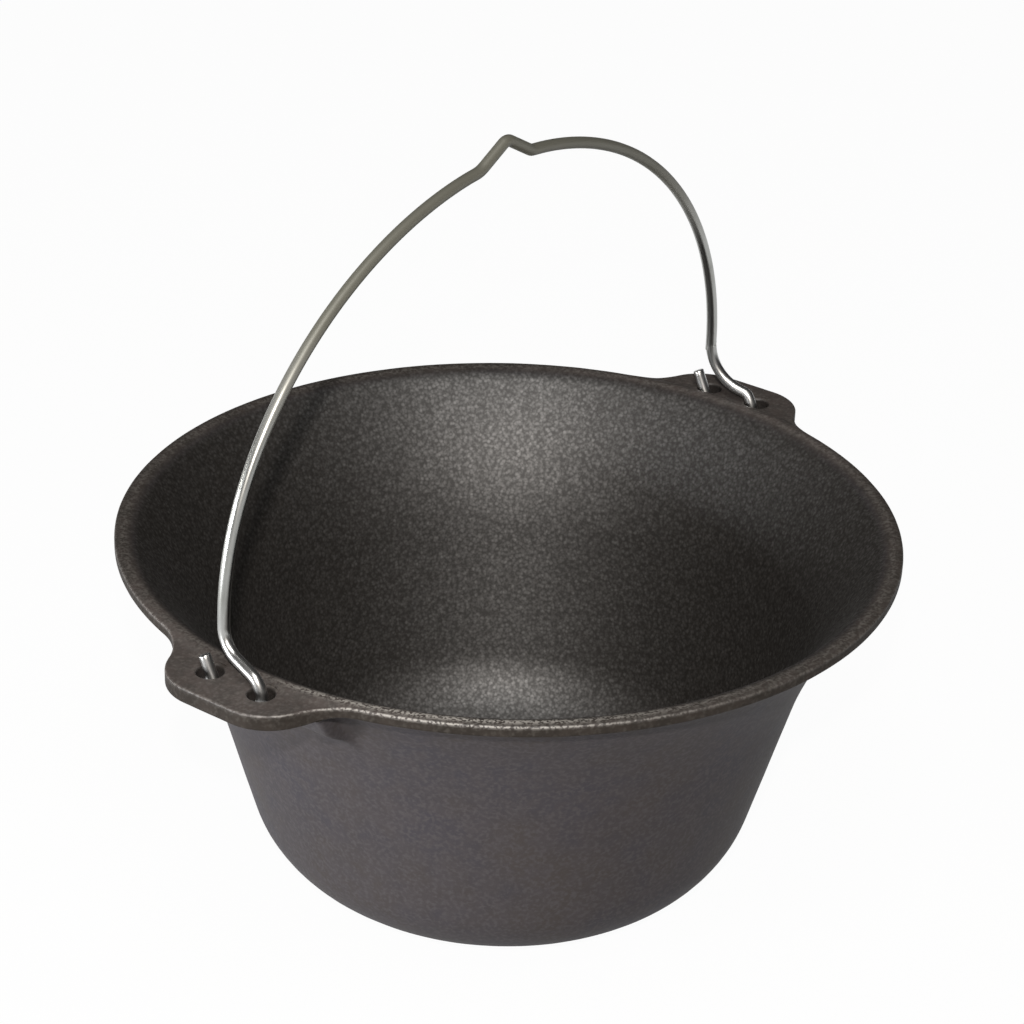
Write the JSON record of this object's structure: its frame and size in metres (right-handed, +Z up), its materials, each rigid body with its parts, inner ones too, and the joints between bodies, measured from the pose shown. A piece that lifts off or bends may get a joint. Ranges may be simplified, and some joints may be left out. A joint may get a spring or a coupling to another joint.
{
  "type": "cast iron camp pot",
  "caption": "Cast iron camp pot with a flared bowl, a thick rim, pierced lugs and a swinging wire bail with a hook notch, for hanging over an open fire.",
  "frame": {"origin": "middle of the flat base, on the ground plane", "axes": "+Z up, +X through the lugs, +Y the side where the ends of the bail come up through the lugs"},
  "size_m": [0.374, 0.33, 0.3307],
  "materials": {
    "iron": "dark sand-cast iron, oiled, matte with a fine grain",
    "wire": "bright zinc plating, drawn along the wire"
  },
  "bodies": {
    "pot": {"cast_pot": "iron"},
    "bail": {"wire_bail": "wire"}
  },
  "joints": [
    {"name": "bail_swing", "type": "hinge", "parent": "pot", "child": "bail", "pos_m": [0, 0, 0.1556], "axis": [1, 0, 0], "range_deg": [0, 20]}
  ]
}
